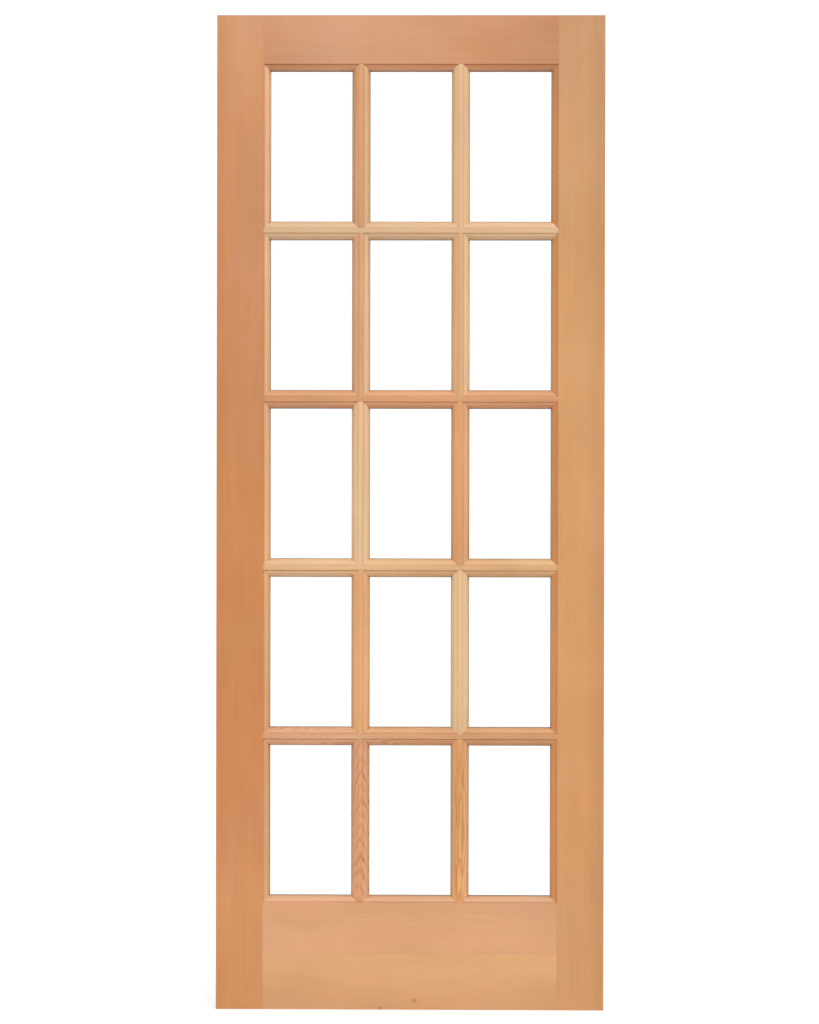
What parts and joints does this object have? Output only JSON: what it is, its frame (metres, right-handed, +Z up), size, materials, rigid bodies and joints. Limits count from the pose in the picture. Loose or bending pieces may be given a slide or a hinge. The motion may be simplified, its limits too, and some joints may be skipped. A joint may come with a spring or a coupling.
{
  "type": "french door leaf",
  "caption": "Wooden glazed door leaf: stiles, rails and a grid of moulded bars around clear panes, ovolo in front, mitred beads behind. No jamb, hinges or lock.",
  "frame": {"origin": "middle of the leaf's bottom edge: centre of its width and of its thickness, on the underside", "axes": "+Z up the leaf, +X across it to the right as seen from the front, front face (the moulded side) towards -Y"},
  "size_m": [0.793, 0.0446, 2.032],
  "materials": {
    "fir_stile_left": "satin",
    "fir_stile_right": "satin",
    "fir_top_rail": "satin",
    "fir_bottom_rail": "satin",
    "fir_pale": "satin",
    "fir_red": "satin",
    "fir_gold": "satin",
    "clear_glass": "polished",
    "glazing_tape": "matte",
    "dowel_beech": "matte",
    "brad_steel": "satin"
  },
  "bodies": {
    "root": {"left_stile": "fir_stile_left", "right_stile": "fir_stile_right", "top_rail": "fir_top_rail", "bottom_rail": "fir_bottom_rail", "horizontal_bar_1": "fir_pale", "horizontal_bar_2": "fir_red", "horizontal_bar_3": "fir_pale", "horizontal_bar_4": "fir_red", "vertical_bar_1_1": "fir_gold", "vertical_bar_1_2": "fir_red", "vertical_bar_1_3": "fir_pale", "vertical_bar_1_4": "fir_gold", "vertical_bar_1_5": "fir_red", "vertical_bar_2_1": "fir_pale", "vertical_bar_2_2": "fir_gold", "vertical_bar_2_3": "fir_red", "vertical_bar_2_4": "fir_pale", "vertical_bar_2_5": "fir_red", "glass_pane_1_1": "clear_glass", "glass_pane_1_2": "clear_glass", "glass_pane_1_3": "clear_glass", "glass_pane_2_1": "clear_glass", "glass_pane_2_2": "clear_glass", "glass_pane_2_3": "clear_glass", "glass_pane_3_1": "clear_glass", "glass_pane_3_2": "clear_glass", "glass_pane_3_3": "clear_glass", "glass_pane_4_1": "clear_glass", "glass_pane_4_2": "clear_glass", "glass_pane_4_3": "clear_glass", "glass_pane_5_1": "clear_glass", "glass_pane_5_2": "clear_glass", "glass_pane_5_3": "clear_glass", "glazing_beads_1_1": "fir_gold", "glazing_beads_1_2": "fir_gold", "glazing_beads_1_3": "fir_gold", "glazing_beads_2_1": "fir_gold", "glazing_beads_2_2": "fir_gold", "glazing_beads_2_3": "fir_gold", "glazing_beads_3_1": "fir_gold", "glazing_beads_3_2": "fir_gold", "glazing_beads_3_3": "fir_gold", "glazing_beads_4_1": "fir_gold", "glazing_beads_4_2": "fir_gold", "glazing_beads_4_3": "fir_gold", "glazing_beads_5_1": "fir_gold", "glazing_beads_5_2": "fir_gold", "glazing_beads_5_3": "fir_gold", "glazing_tape_row_1": "glazing_tape", "glazing_tape_row_2": "glazing_tape", "glazing_tape_row_3": "glazing_tape", "glazing_tape_row_4": "glazing_tape", "glazing_tape_row_5": "glazing_tape", "top_rail_dowels": "dowel_beech", "bottom_rail_dowels": "dowel_beech", "bar_end_dowels": "dowel_beech", "crossing_dowels": "dowel_beech", "bead_brads": "brad_steel"}
  },
  "joints": []
}
